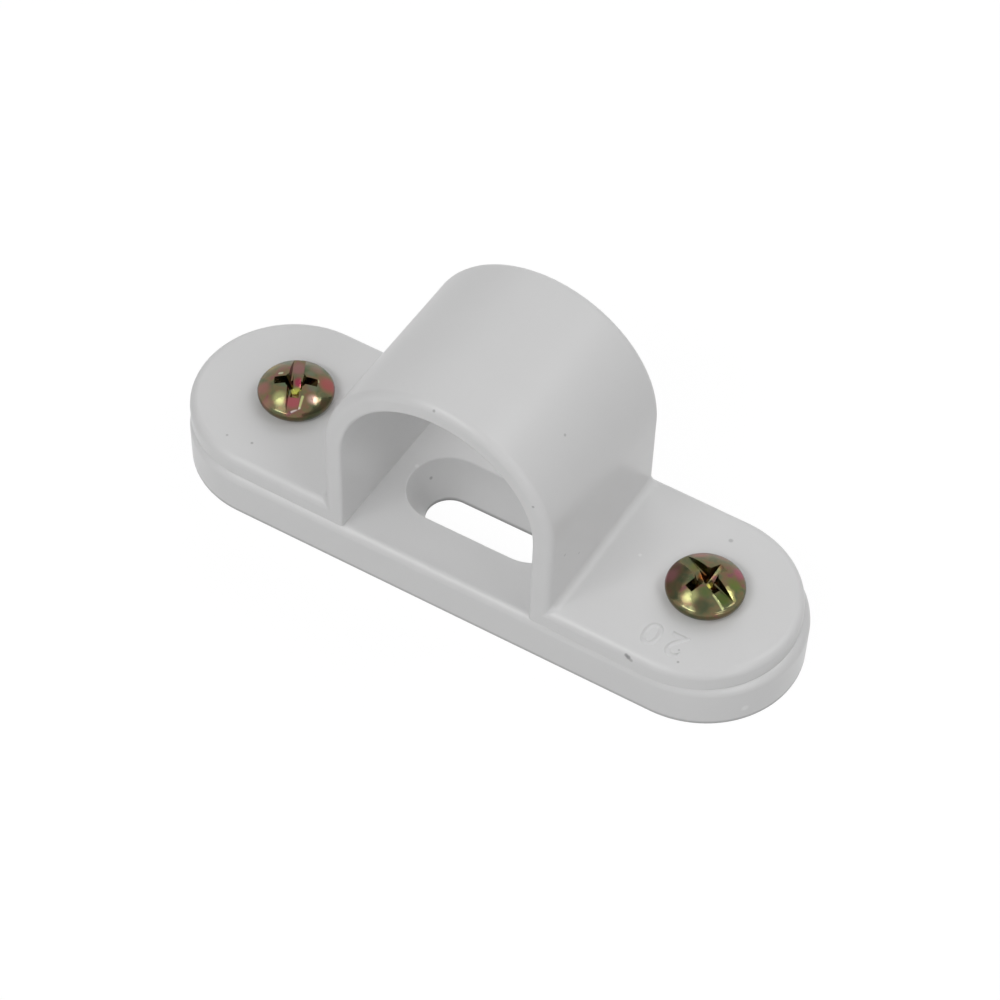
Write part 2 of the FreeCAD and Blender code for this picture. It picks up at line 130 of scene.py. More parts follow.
upvcLook = {
    "base": "#E0E0E0",
    "cloud": "#DCDCDC",
    "cloudSize": 9.0,        # mm, faint flow clouds from the mould
    "roughness": 0.33,
    "waveSize": 7.0,         # mm, the skin's slow unevenness, seen in the highlights
    "waveHeight": 0.02,
    "grainSize": 0.25,       # mm, fine skin grain
    "grainHeight": 0.001,
    "ior": 1.54,
    # specks and scuffs, and the painted shade of a nick: place and radius in mm, share, colour
    "marks": [((-22.73, -6.85, 7.0), 0.2, 0.5, "#7A7A7A"), ((-25.32, -7.26, 7.0), 0.18, 0.4, "#7A7A7A"),
              ((-0.81, -9.59, 27.09), 0.2, 0.5, "#7A7A7A"), ((9.58, -9.84, 20.82), 0.18, 0.5, "#7A7A7A"),
              ((-7.63, 1.28, 3.08), 0.25, 0.5, "#808080"), ((8.78, -2.99, 23.29), 0.2, 0.4, "#7A7A7A"),
              ((21.9, 6.6, 7.0), 0.32, 0.4, "#7A7A7A"), ((24.42, -8.46, 7.0), 0.18, 0.5, "#7A7A7A"),
              ((23.85, -7.22, 7.0), 0.15, 0.4, "#7A7A7A"), ((11.77, -7.36, 12.94), 0.2, 0.4, "#7A7A7A"),
              ((11.8, -4.63, 10.39), 0.18, 0.4, "#7A7A7A"), ((-8.76, 0.53, 4.9), 0.3, 0.6, "#F4F4F4"),
              ((15.51, 0.62, 7.0), 0.25, 0.6, "#F4F4F4"), ((30.56, -6.16, 1.71), 0.5, 0.5, "#F4F4F4"),
              # painted shade: these three dark marks stand for the shadowed hollow of a nick in the strap
              # foot's front edge
              ((19.9, -9.92, 6.5), 0.26, 0.6, "#606060"), ((20.15, -9.94, 6.38), 0.32, 0.65, "#606060"),
              ((20.45, -9.95, 6.2), 0.28, 0.4, "#606060")],
    "paintedBottomShade": (0.62, 0.85, "#808080"),   # mm above the wall, share, colour: painted shade, darker towards the lower edge
}


def mouldedUpvc(name, look):
    # unplasticised PVC, injection moulded: a cold grey-white with a satin gloss and soft highlights
    material, tree, place, output = newMaterial(name)
    cloud = addNode(tree, "ShaderNodeTexNoise",
                    inputs={"Vector": place, "Scale": 1 / look["cloudSize"], "Detail": 3.0})
    tint = addNode(tree, "ShaderNodeMix", {"data_type": "RGBA"},
                   {mixFactor: cloud.outputs["Fac"], mixFirst: linearColour(look["base"]),
                    mixSecond: linearColour(look["cloud"])})
    # specks, scuffs and the nick's painted shade
    markedAndShaded = patched(tree, place, tint.outputs[mixResult], look["marks"])
    # painted shade: the colour goes darker towards the lower edge, where the rounding faces the floor
    reach, share, hexColour = look["paintedBottomShade"]
    apart = addNode(tree, "ShaderNodeSeparateXYZ", inputs={"Vector": place})
    low = addNode(tree, "ShaderNodeMapRange", {"interpolation_type": "SMOOTHSTEP"},
                  {"Value": apart.outputs["Z"], "From Min": reach, "From Max": 0,
                   "To Min": 0, "To Max": share})
    bottomShaded = addNode(tree, "ShaderNodeMix", {"data_type": "RGBA"},
                    {mixFactor: low.outputs["Result"], mixFirst: markedAndShaded,
                     mixSecond: linearColour(hexColour)})
    wave = addNode(tree, "ShaderNodeTexNoise",
                   inputs={"Vector": place, "Scale": 1 / look["waveSize"], "Detail": 1.0})
    slow = addNode(tree, "ShaderNodeBump",
                   inputs={"Height": wave.outputs["Fac"], "Distance": mm(look["waveHeight"])})
    grain = addNode(tree, "ShaderNodeTexNoise",
                    inputs={"Vector": place, "Scale": 1 / look["grainSize"], "Detail": 2.0})
    fine = addNode(tree, "ShaderNodeBump",
                   inputs={"Height": grain.outputs["Fac"], "Distance": mm(look["grainHeight"]),
                           "Normal": slow.outputs["Normal"]})
    shader = addNode(tree, "ShaderNodeBsdfPrincipled",
                     inputs={"Base Color": bottomShaded.outputs[mixResult], "Roughness": look["roughness"],
                             "IOR": look["ior"], "Normal": fine.outputs["Normal"]})
    tree.links.new(shader.outputs["BSDF"], output.inputs["Surface"])
    return material


def link(thing):
    bpy.context.scene.collection.objects.link(thing)
    return thing


def toMesh(bm, name):
    mesh = bpy.data.meshes.new(name)
    bm.to_mesh(mesh)
    bm.free()
    return mesh


def tidied(bm):
    bmesh.ops.remove_doubles(bm, verts=bm.verts, dist=mergeDistance)
    bmesh.ops.recalc_face_normals(bm, faces=bm.faces)
    return bm


def onlyVerts(parts):
    return [part for part in parts if isinstance(part, bmesh.types.BMVert)]


def profileLine(bm, start, points):
    # from one vertex on through the points of a section, in the XZ plane
    for x, z in points:
        following = bm.verts.new((x, 0, z))
        bm.edges.new((start, following))
        start = following
    return start


def profileArc(bm, start, centre, degrees, steps):
    # spin one vertex into an arc round a centre in the XZ plane
    turned = bmesh.ops.spin(bm, geom=[start], cent=(centre[0], 0, centre[1]), axis=(0, 1, 0),
                            angle=math.radians(degrees), steps=steps, use_duplicate=False)
    return onlyVerts(turned["geom_last"])[0]


def turnedBody(bm, steps):
    bmesh.ops.spin(bm, geom=bm.verts[:] + bm.edges[:], cent=(0, 0, 0), axis=(0, 0, 1),
                   angle=2 * math.pi, steps=steps, use_merge=True, use_duplicate=False)
    return tidied(bm)


def roundEndedBlock(sections, steps):
    # two half circles and their straight sides, drawn on through sections of (height, length, width, shift)
    bm = bmesh.new()
    height, length, width, shift = sections[0]
    ends = []
    for side in (1, -1):
        reach = side * (length - width) / 2
        first = bm.verts.new((reach, shift - side * width / 2, height))
        spun = bmesh.ops.spin(bm, geom=[first], cent=(reach, shift, height), axis=(0, 0, 1), angle=math.pi,
                              steps=steps, use_duplicate=False)
        ends.append((first, onlyVerts(spun["geom_last"])[0]))
    bm.edges.new((ends[0][1], ends[1][0]))
    bm.edges.new((ends[1][1], ends[0][0]))
    cap = bmesh.ops.contextual_create(bm, geom=bm.edges[:])["faces"]
    for number, (newHeight, newLength, newWidth, newShift) in enumerate(sections[1:]):
        drawn = bmesh.ops.extrude_face_region(bm, geom=cap)["geom"]
        if number:
            bmesh.ops.delete(bm, geom=cap, context="FACES_ONLY")   # or it stays as a wall inside
        cap = [part for part in drawn if isinstance(part, bmesh.types.BMFace)]
        outline = onlyVerts(drawn)
        bmesh.ops.translate(bm, verts=outline, vec=(0, 0, newHeight - height))
        for side in (1, -1):
            end = [vert for vert in outline if vert.co.x * side > 0]
            reach, newReach = side * (length - width) / 2, side * (newLength - newWidth) / 2
            bmesh.ops.scale(bm, verts=end, vec=(newWidth / width, newWidth / width, 1),
                            space=Matrix.Translation((-reach, -shift, 0)))
            bmesh.ops.translate(bm, verts=end, vec=(newReach - reach, newShift - shift, 0))
        height, length, width, shift = newHeight, newLength, newWidth, newShift
    return tidied(bm)


def coneBlock(place, radius, lowRadius, top, bottom, segments=48):
    bm = bmesh.new()
    bmesh.ops.create_cone(bm, cap_ends=True, segments=segments, radius1=lowRadius, radius2=radius,
                          depth=top - bottom)
    bmesh.ops.translate(bm, verts=bm.verts, vec=(place[0], place[1], (top + bottom) / 2))
    return bm


def settled(piece, waste=()):
    # a bmesh of the piece with its modifiers applied; the helpers go
    made = bmesh.new()
    shape = piece.evaluated_get(bpy.context.evaluated_depsgraph_get())
    mesh = bpy.data.meshes.new_from_object(shape)
    made.from_mesh(mesh)
    bpy.data.meshes.remove(mesh)
    for thing in [piece] + list(waste):
        bpy.data.objects.remove(thing)
    return made


def cutWith(bm, cutters, operation="DIFFERENCE"):
    # cut or trim a body with others, by exact Boolean modifiers
    body = link(bpy.data.objects.new("body", toMesh(bm, "body")))
    waste = []
    for number, cutter in enumerate(cutters):
        tool = link(bpy.data.objects.new("cutter%d" % number, toMesh(cutter, "cutter%d" % number)))
        cut = body.modifiers.new("cut%d" % number, "BOOLEAN")
        cut.operation = operation
        cut.solver = "EXACT"
        cut.object = tool
        waste.append(tool)
    made = settled(body, waste)
    bmesh.ops.remove_doubles(made, verts=made.verts, dist=mergeDistance)
    return made


def rounded(bm, edges, amount, segments):
    bmesh.ops.bevel(bm, geom=edges, offset=amount, offset_type="OFFSET", affect="EDGES", segments=segments,
                    profile=0.5, material=-1, clamp_overlap=True)


def finishedPiece(bm, name, place, turn, sharpAngle, material):
    # turn and place a piece modelled in millimetres, and shade it smooth apart from its sharp edges
    bmesh.ops.rotate(bm, verts=bm.verts, matrix=Matrix.Rotation(math.radians(turn), 3, "Z"))
    bmesh.ops.translate(bm, verts=bm.verts, vec=place)
    bmesh.ops.scale(bm, verts=bm.verts, vec=(mm(1), mm(1), mm(1)))
    for face in bm.faces:
        face.smooth = True
        face.material_index = 0
    for edge in bm.edges:
        edge.smooth = len(edge.link_faces) == 2 and edge.calc_face_angle(0) < math.radians(sharpAngle)
    mesh = toMesh(bm, name)
    mesh.materials.append(material)
    return link(bpy.data.objects.new(name, mesh))


def evenShading(piece):
    # big flat faces lead the shading, so that roundings fade out into them
    shading = piece.modifiers.new("evenShading", "WEIGHTED_NORMAL")
    shading.keep_sharp = True
    shading.weight = 60   # percent, over 50 the larger face counts more


def declare(piece, node):
    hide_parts(node)
    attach(piece, "root")
    print("made", piece.name, "with", len(piece.data.polygons), "faces")


# Base bar

baseForm = {
    # mm, from the wall up
    "length": 65.4, "width": 19.9, "height": 4.9,
    "topRounding": 1.0, "footRounding": 0.2, "roundingSteps": 5, "endSteps": 64, "slotSteps": 32,
    # length, width and shift of the slot and of its flared mouth
    "slot": (14.2, 4.9, 0), "land": 0.8, "mouth": (17.27, 8.05, -0.405), "lip": 0.2,
    "lipAngles": (1.571, 1.1, 0.7, 0.35, 0),   # radians
    "sharpAngle": 38,                          # degrees
    "seatRadius": 2.82, "seatTop": 4.2, "shankHole": 2.15,
    "screwPlaces": [(-22.4186, 0.4059), (22.6986, -0.1059)],
}


def liesOn(vert, length, width):
    # whether a vertex stands on a round-ended outline about the origin
    beyond = max(abs(vert.co.x) - (length - width) / 2, 0)
    return abs(math.hypot(beyond, vert.co.y) - width / 2) < outlineTolerance


def baseBar():
    form = baseForm
    length, width, height = form["length"], form["width"], form["height"]
    bm = roundEndedBlock([(0, length, width, 0), (height, length, width, 0)], form["endSteps"])
    for level, amount in ((height, form["topRounding"]), (0, form["footRounding"])):
        rim = [edge for edge in bm.edges
               if all(abs(vert.co.z - level) < levelTolerance for vert in edge.verts)]
        rounded(bm, rim, amount, form["roundingSteps"])
    lip, slot, land = form["lip"], form["slot"], form["land"]
    mouthLength, mouthWidth, mouthShift = form["mouth"]
    # the lip is a quarter round from the flared wall out to the top face
    lipSteps = [(height - lip * (1 - math.sin(t)), lip * (1 - math.cos(t))) for t in form["lipAngles"]]
    sections = [(level, mouthLength + 2 * out, mouthWidth + 2 * out, mouthShift)
                for level, out in [(height + overrun, lip)] + lipSteps]
    sections += [(land, *slot), (-overrun, *slot)]
    cutters = [roundEndedBlock(sections, form["slotSteps"])]
    seat, hole, seatTop = form["seatRadius"], form["shankHole"], form["seatTop"]
    for place in form["screwPlaces"]:
        cutters.append(coneBlock(place, seat, seat, seatTop, -overrun))
        cutters.append(coneBlock(place, hole, hole, height + overrun, seatTop - overrun))
    return cutWith(bm, cutters)


base = finishedPiece(baseBar(), "baseBar", (0, 0, 0), 0, baseForm["sharpAngle"],
                     mouldedUpvc("mouldedUpvcBase", upvcLook))
evenShading(base)
declare(base, "spacer_base")

# Saddle strap

strapForm = {
    # mm, from the underside of the feet up
    "length": 64.8, "width": 19.8, "footThickness": 2.1,
    "boreRadius": 10.2, "saddleRadius": 12.3, "boreHeight": 10.3,
    "outerRounding": 0.9, "boreRounding": 0.35, "rootRounding": 0.06, "roundingSteps": 6,
    "archSteps": 72, "endSteps": 48,
    "holeRadius": 2.74, "holePlaces": [(-22.56, 0), (22.56, 0)],
    "place": (-0.45, 0.15, 4.9),
    "turn": -0.65, "sharpAngle": 38,           # degrees
}


def archReach(vert):
    # how far a vertex stands from the middle line of the bore or of its straight legs
    return math.hypot(vert.co.x, max(vert.co.z - strapForm["boreHeight"], 0))


def roundingShare(edge):
    # how much of the outer rounding an edge of the strap gets
    form = strapForm
    foot, half = form["footThickness"], form["width"] / 2
    ends = edge.verts
    onOutline = all(liesOn(vert, form["length"], form["width"]) for vert in ends)
    onFootTop = all(abs(vert.co.z - foot) < levelTolerance for vert in ends)
    onOutside = all(abs(archReach(vert) - form["saddleRadius"]) < roundTolerance for vert in ends)
    inBore = all(abs(archReach(vert) - form["boreRadius"]) < roundTolerance for vert in ends)
    onFace = (all(abs(abs(vert.co.y) - half) < levelTolerance for vert in ends)
              and ends[0].co.y * ends[1].co.y > 0)
    if onOutline and onFootTop and edge.calc_face_angle(0) > 1:
        return 1
    if onOutside and onFace:
        return 1
    if inBore and onFace:
        return form["boreRounding"] / form["outerRounding"]
    if onOutside and onFootTop:
        return form["rootRounding"] / form["outerRounding"]
    return 0


def strapMoulding():
    form = strapForm
    reach, half, foot = form["length"] / 2, form["width"] / 2, form["footThickness"]
    bore, outer, centre = form["boreRadius"], form["saddleRadius"], form["boreHeight"]
    # the front view's outline: up over the left foot and the arch, and back through the bore
    bm = bmesh.new()
    first = bm.verts.new((-reach, 0, 0))
    archStart = profileLine(bm, first, [(-reach, foot), (-outer, foot), (-outer, centre)])
    archEnd = profileArc(bm, archStart, (0, centre), 180, form["archSteps"])
    boreStart = profileLine(bm, archEnd, [(outer, foot), (reach, foot), (reach, 0), (bore, 0),
                                          (bore, centre)])
    boreEnd = profileArc(bm, boreStart, (0, centre), -180, form["archSteps"])
    last = profileLine(bm, boreEnd, [(-bore, 0)])
    bm.edges.new((last, first))
    front = bmesh.ops.contextual_create(bm, geom=bm.edges[:])["faces"]
    bmesh.ops.translate(bm, verts=bm.verts, vec=(0, -half, 0))
    drawn = bmesh.ops.extrude_face_region(bm, geom=front)["geom"]
    bmesh.ops.translate(bm, verts=onlyVerts(drawn), vec=(0, 2 * half, 0))
    plan = [(level, form["length"], form["width"], 0) for level in (-overrun, centre + outer + overrun)]
    bm = cutWith(tidied(bm), [roundEndedBlock(plan, form["endSteps"])], "INTERSECT")
    weights = bm.edges.layers.float.new("bevel_weight_edge")
    for edge in bm.edges:
        edge[weights] = roundingShare(edge)
    body = link(bpy.data.objects.new("strapBody", toMesh(bm, "strapBody")))
    soft = body.modifiers.new("rounding", "BEVEL")
    soft.limit_method = "WEIGHT"
    soft.width = form["outerRounding"]
    soft.segments = form["roundingSteps"]
    soft.profile = 0.5
    bm = settled(body)
    hole = form["holeRadius"]
    return cutWith(bm, [coneBlock(place, hole, hole, foot + overrun, -overrun)
                        for place in form["holePlaces"]])


strap = finishedPiece(strapMoulding(), "saddleStrap", strapForm["place"], strapForm["turn"],
                      strapForm["sharpAngle"], mouldedUpvc("mouldedUpvcStrap", upvcLook))
evenShading(strap)
declare(strap, "saddle_strap")

# Size mark

sizeMark = {
    "text": "20",
    "size": 3.75,            # mm, makes figures about 2.8 mm tall
    "spread": 1.28,
    "edge": 0.45,            # radius of the strokes' round section, mostly sunk in the foot
    "proud": 0.1,
    "bolder": -0.19,         # mm, takes back what the round section adds
    "roundSteps": 3, "curveSteps": 6,
    "place": (22.1, -6.76, 7.0),
    "turn": 179.35,          # degrees: it reads from the back of the saddle
    "sharpAngle": 60,        # degrees
}


def raisedFigures():
    curve = bpy.data.curves.new("sizeMark", "FONT")
    curve.body = sizeMark["text"]
    curve.size = sizeMark["size"]
    curve.space_character = sizeMark["spread"]
    curve.align_x, curve.align_y = "CENTER", "CENTER"
    curve.bevel_depth = sizeMark["edge"]
    curve.offset = sizeMark["bolder"]
    curve.bevel_resolution = sizeMark["roundSteps"]
    curve.resolution_u = sizeMark["curveSteps"]
    return settled(link(bpy.data.objects.new("sizeMark", curve)))


x, y, level = sizeMark["place"]
sunk = (x, y, level + sizeMark["proud"] - sizeMark["edge"])
figures = finishedPiece(tidied(raisedFigures()), "sizeMark", sunk, sizeMark["turn"],
                        sizeMark["sharpAngle"], strap.data.materials[0])
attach(figures, "root")
print("made the size mark with", len(figures.data.polygons), "faces")

# Yellow passivated zinc

screwLook = {
    # film hues are the film's own, kept darker than the real film as a painted dark reflection of the room
    "stops": [(0.30, "#4E5B40"), (0.42, "#606048"), (0.50, "#6C6449"), (0.57, "#745F49"), (0.64, "#7A5350"),
              (0.70, "#6C4F58"), (0.78, "#64604B"), (0.88, "#566148")],
    "patchSize": 1.7,        # mm, patches of one film colour
    "mottleSize": 0.45,      # mm, fine mottling within a patch
    "mottleShare": 0.3,
    "mottleRange": (0.35, 0.65),        # the mottling's noise from its darkest to its lightest
    "roughness": (0.1, 0.2),
    "dentSize": 0.5,         # mm, unevenness of the pressed and plated skin
    "dentHeight": 0.012,
    "shifts": [(0, 0, 0), (7, 3, 5)],   # mm, moves the film's own patches on each screw
    # where the film has a colour of its own, and painted highlights on the crown, slot edges and rim:
    # place or streak and radius in mm, share, colour
    "patches": [
        [((-25.8, 1.4, 8.1), 1.2, 0.8, "#8E7C3E"), ((-24.8, -1.5, 8.5), 1.1, 0.8, "#8A5E58"),
         ((-23.5, -2.8, 8.2), 0.9, 0.7, "#8C6A5C"), ((-19.9, 2.0, 8.5), 1.3, 0.9, "#94504F"),
         ((-21.6, 2.9, 8.8), 0.9, 0.6, "#86685E"), ((-21.7, 1.9, 9.1), 0.6, 0.7, "#5F6C5A"),
         ((-20.6, 0.6, 9.2), 0.8, 0.7, "#646E5C"), ((-23.1, -0.6, 9.3), 0.6, 0.7, "#566852"),
         # painted highlights: the two light patches on this line stand for lamp reflections on the crown
         ((-22.7, -2.0, 8.95), 0.95, 0.9, "#9C9E6C"), ((-19.95, -0.5, 8.86), 0.7, 0.9, "#AC8C80"),
         ((-23.4, 2.4, 8.5), 1.1, 0.9, "#86605E"), ((-21.5, -1.5, 8.5), 1.2, 0.9, "#9A4E56"),
         # painted reflection: the bright yellow patch at (-22.4, 0.4, 7.5), deep in the recess, stands for
         # the overhead light seen in the cone's wall
         ((-22.7, 1.3, 8.0), 0.7, 0.9, "#8A3448"), ((-22.4, 0.4, 7.5), 0.8, 0.85, "#B4B450"),
         # painted highlights and glints: these streaks stand for bright lines along the slot's edges and the
         # arms
         (((-20.78, -0.9, 9.13), (-20.5, -1.95, 8.67)), 0.19, 0.85, "#B8BC84"),
         (((-20.5, -1.95, 8.67), (-20.95, -2.6, 8.45)), 0.16, 0.8, "#C8BCB8"),
         (((-24.3, 0.45, 9.2), (-24.1, 0.55, 9.25)), 0.22, 0.7, "#B8BCA0"),
         (((-20.7, 1.7, 9.1), (-20.55, 1.55, 9.1)), 0.16, 0.6, "#A8AC84")],
        [((20.8, 2.4, 8.4), 1.1, 0.8, "#8E5E54"), ((22.6, 3.3, 8.3), 1.0, 0.7, "#866254"),
         ((24.8, 2.3, 8.4), 1.0, 0.9, "#92505E"), ((19.7, -1.1, 8.4), 1.1, 0.8, "#9C6A6C"),
         ((25.2, 0.7, 8.8), 1.0, 0.6, "#56702E"), ((21.0, 0.9, 8.9), 0.8, 0.8, "#5C7034"),
         ((23.4, -1.6, 9.2), 0.9, 0.6, "#4E6234"), ((22.1, 0.5, 8.2), 0.7, 0.9, "#7A4418"),
         ((22.1, -0.5, 7.9), 0.4, 1.0, "#E89468"), ((22.95, 0.3, 7.7), 0.45, 1.0, "#DCD46A"),
         # painted highlight: the light patch at (22.35, -2.55) stands for a lamp's reflection on the crown
         ((22.35, -2.55, 8.93), 1.0, 0.9, "#9C9E6C"), ((23.8, -2.9, 8.75), 1.1, 0.65, "#3C4432"),
         ((25.35, -0.3, 8.87), 0.5, 0.8, "#94905C"), ((23.05, -3.6, 8.4), 0.5, 0.7, "#8C9068"),
         ((24.9, -1.1, 8.5), 1.2, 0.7, "#3E5A20"),
         # painted highlights: these streaks stand for bright lines along the slot's edge and the rim
         (((24.2, -1.55, 9.1), (25.42, -2.06, 8.48)), 0.17, 0.85, "#BCC08C"),
         (((24.9, -0.08, 9.1), (25.9, -0.65, 8.55)), 0.28, 0.8, "#A8A46C")],
    ],
}


def yellowPassivatedZinc(name, look):
    # zinc plate with a yellow chromate film: olive and gold metal that shifts to green and pink in patches
    material, tree, place, output = newMaterial(name)
    moved = addNode(tree, "ShaderNodeMapping", inputs={"Vector": place, "Location": look["shift"]})
    patch = addNode(tree, "ShaderNodeTexNoise",
                    inputs={"Vector": moved.outputs["Vector"], "Scale": 1 / look["patchSize"], "Detail": 2.0,
                            "Distortion": 0.6})
    mottle = addNode(tree, "ShaderNodeTexNoise",
                     inputs={"Vector": moved.outputs["Vector"], "Scale": 1 / look["mottleSize"],
                             "Detail": 3.0})
    film = addNode(tree, "ShaderNodeMix", {"data_type": "FLOAT"},
                   {0: look["mottleShare"], 2: patch.outputs["Fac"], 3: mottle.outputs["Fac"]})
    colour = addNode(tree, "ShaderNodeValToRGB", inputs={"Fac": film.outputs[0]}, stops=look["stops"])
    # the film's own patches, with painted highlights laid on as lighter patches
    film = patched(tree, place, colour.outputs["Color"], look["ownPatchesAndHighlights"])
    rough = addNode(tree, "ShaderNodeMapRange",
                    inputs={"Value": mottle.outputs["Fac"],
                            "From Min": look["mottleRange"][0], "From Max": look["mottleRange"][1],
                            "To Min": look["roughness"][0], "To Max": look["roughness"][1]})
    dents = addNode(tree, "ShaderNodeTexNoise",
                    inputs={"Vector": place, "Scale": 1 / look["dentSize"], "Detail": 2.0})
    bump = addNode(tree, "ShaderNodeBump",
                   inputs={"Height": dents.outputs["Fac"], "Distance": mm(look["dentHeight"])})
    shader = addNode(tree, "ShaderNodeBsdfPrincipled",
                     inputs={"Base Color": film, "Metallic": 1.0,
                             "Roughness": rough.outputs["Result"], "Normal": bump.outputs["Normal"]})
    tree.links.new(shader.outputs["BSDF"], output.inputs["Surface"])
    return material


# Cover screws

screwForm = {
    # mm, with the underside of the head at height 0
    "headRadius": 3.75, "headHeight": 2.5, "rimHeight": 0.9, "shoulder": 0.6, "underside": 1.0,
    "seatStep": 0.03,               # in from the round underside to the flat seat
    "undersideSweep": 60, "sharpAngle": 40,     # degrees
    "crownSteps": 10, "shoulderSteps": 8, "undersideSteps": 6, "turnSteps": 96,
    "threadCrest": 2.0, "threadRoot": 1.62, "pitch": 0.7, "length": 6.2, "threadTop": 0.3,
    "threadShares": (0.9, 0.55, 0.45, 0.1),     # of the pitch: root, crest, crest and root edge
    "threadTurns": 10, "stepsPerTurn": 36,
    "turnGap": 0.002, "cutGap": 0.0001,         # within which turns join, and a level cut takes a vertex
    "tipTaper": 0.5, "tipShrink": 0.22,
    # driver recess: length and width at the mouth, length and width on the floor, depth, turn
    "slot": (8.4, 1.5, 8.4, 1.12, 1.0, 0),      # the saw cut, open at both ends
    "arms": (5.05, 0.98, 1.2, 0.7, 1.9, 90),
    "core": (1.1, 0.5, 1.9, 0.3),   # radius at the mouth and at the floor, depth, depth of the tip
    "tipCone": (0.03, 0.02, 0.01),  # overlap with the core in radius, the point's radius, overlap in height
    "aboveHead": 0.4,               # how far the recess's cutters stand above the head
    "coreFlare": 1.15, "coreSteps": 32,     # how many times wider the core's cutter is up there
    "mouthRounding": 0.17, "mouthSteps": 3,
    "mouthAngle": 35,               # degrees, sharper edges get the mouth's rounding
    "seatLevel": 7.0,
    "places": {"screw_left": (-22.4186, 0.4059, 116.5), "screw_right": (22.6986, -0.1059, -23.0)},
}


def headBody():
    # the head's section, spun round: crown arc, shoulder arc, the rim's round underside and the flat seat
    form = screwForm
    top, rim, head, shoulder = form["headHeight"], form["rimHeight"], form["headRadius"], form["shoulder"]
    rise, run = top - rim, head - shoulder
    crown = (run ** 2 + rise ** 2 - shoulder ** 2) / (2 * (rise - shoulder))
    tilt = math.degrees(math.atan2(run, crown - rise))
    bm = bmesh.new()
    pole = bm.verts.new((0, 0, top))
    crownEnd = profileArc(bm, pole, (0, top - crown), tilt, form["crownSteps"])
    rimEnd = profileArc(bm, crownEnd, (run, rim), 90 - tilt, form["shoulderSteps"])
    seatEdge = profileArc(bm, rimEnd, (head - form["underside"], rim), form["undersideSweep"],
                          form["undersideSteps"])
    profileLine(bm, seatEdge, [(seatEdge.co.x - form["seatStep"], 0), (0, 0)])
    return turnedBody(bm, form["turnSteps"])


def threadBody():
    # one pitch of the thread's section, spun down as a screw and cut level at both ends
    form = screwForm
    pitch, turns, stepsPerTurn = form["pitch"], form["threadTurns"], form["stepsPerTurn"]
    root, crest = form["threadRoot"], form["threadCrest"]
    bm = bmesh.new()
    first = bm.verts.new((root, 0, pitch))
    levels = [share * pitch for share in form["threadShares"]]
    profileLine(bm, first, list(zip((root, crest, crest, root), levels)) + [(root, 0)])
    bmesh.ops.spin(bm, geom=bm.verts[:] + bm.edges[:], cent=(0, 0, 0), axis=(0, 0, 1),
                   dvec=(0, 0, -pitch / stepsPerTurn), angle=2 * math.pi * turns, steps=stepsPerTurn * turns,
                   use_duplicate=False)
    bmesh.ops.remove_doubles(bm, verts=bm.verts, dist=form["turnGap"])
    for level, upward in ((form["threadTop"], 1), (-form["length"], -1)):
        cut = bmesh.ops.bisect_plane(bm, geom=bm.verts[:] + bm.edges[:] + bm.faces[:],
                                     dist=form["cutGap"], plane_co=(0, 0, level),
                                     plane_no=(0, 0, upward), clear_outer=True)
        rim = [part for part in cut["geom_cut"] if isinstance(part, bmesh.types.BMEdge)]
        bmesh.ops.contextual_create(bm, geom=rim)
    for vert in bm.verts:
        above = vert.co.z + form["length"]
        if above < form["tipTaper"]:
            share = 1 - form["tipShrink"] * (1 - above / form["tipTaper"])
            vert.co.x *= share
            vert.co.y *= share
    return tidied(bm)


def recessBlock(length, width, lowLength, lowWidth, depth, turn):
    # the taper of the recess, carried on above the head so that the cut is clean
    top, above = screwForm["headHeight"], screwForm["aboveHead"]
    grow = above / depth
    wide = (length + grow * (length - lowLength), width + grow * (width - lowWidth))
    bm = bmesh.new()
    bmesh.ops.create_cube(bm, size=1)
    upper = [vert for vert in bm.verts if vert.co.z > 0]
    lower = [vert for vert in bm.verts if vert.co.z < 0]
    # the cube's faces stand half a millimetre from its middle
    for verts, size, level in ((upper, wide, top + above - 0.5),
                               (lower, (lowLength, lowWidth), top - depth + 0.5)):
        bmesh.ops.scale(bm, verts=verts, vec=(*size, 1))
        bmesh.ops.translate(bm, verts=verts, vec=(0, 0, level))
    bmesh.ops.rotate(bm, verts=bm.verts, matrix=Matrix.Rotation(math.radians(turn), 3, "Z"))
    return bm


def screwBody():
    form = screwForm
    radius, lowRadius, depth, tip = form["core"]
    wider, point, higher = form["tipCone"]
    top, steps = form["headHeight"], form["coreSteps"]
    mouth, floor = top + form["aboveHead"], top - depth
    # the cross lies under the slot with two of its arms
    cutters = [recessBlock(*form["slot"]), recessBlock(*form["arms"]), recessBlock(*form["arms"][:5], 0),
               coneBlock((0, 0), radius * form["coreFlare"], lowRadius, mouth, floor, steps),
               coneBlock((0, 0), lowRadius + wider, point, floor + higher, floor - tip, steps)]
    head = link(bpy.data.objects.new("head", toMesh(cutWith(headBody(), cutters), "head")))
    soft = head.modifiers.new("mouthRounding", "BEVEL")
    soft.limit_method = "ANGLE"
    soft.angle_limit = math.radians(form["mouthAngle"])
    soft.width = form["mouthRounding"]
    soft.segments = form["mouthSteps"]
    soft.use_clamp_overlap = True
    bm = settled(head)
    thread = toMesh(threadBody(), "thread")
    bm.from_mesh(thread)
    bpy.data.meshes.remove(thread)
    return bm


for number, (node, (x, y, turn)) in enumerate(screwForm["places"].items()):
    side = node.split("_")[1].capitalize()
    look = dict(screwLook, shift=screwLook["shifts"][number], ownPatchesAndHighlights=screwLook["patches"][number])
    zinc = yellowPassivatedZinc("yellowPassivatedZinc" + side, look)
    seat = (x, y, screwForm["seatLevel"])
    piece = finishedPiece(screwBody(), "coverScrew" + side, seat, turn, screwForm["sharpAngle"], zinc)
    declare(piece, node)

# Brass inserts

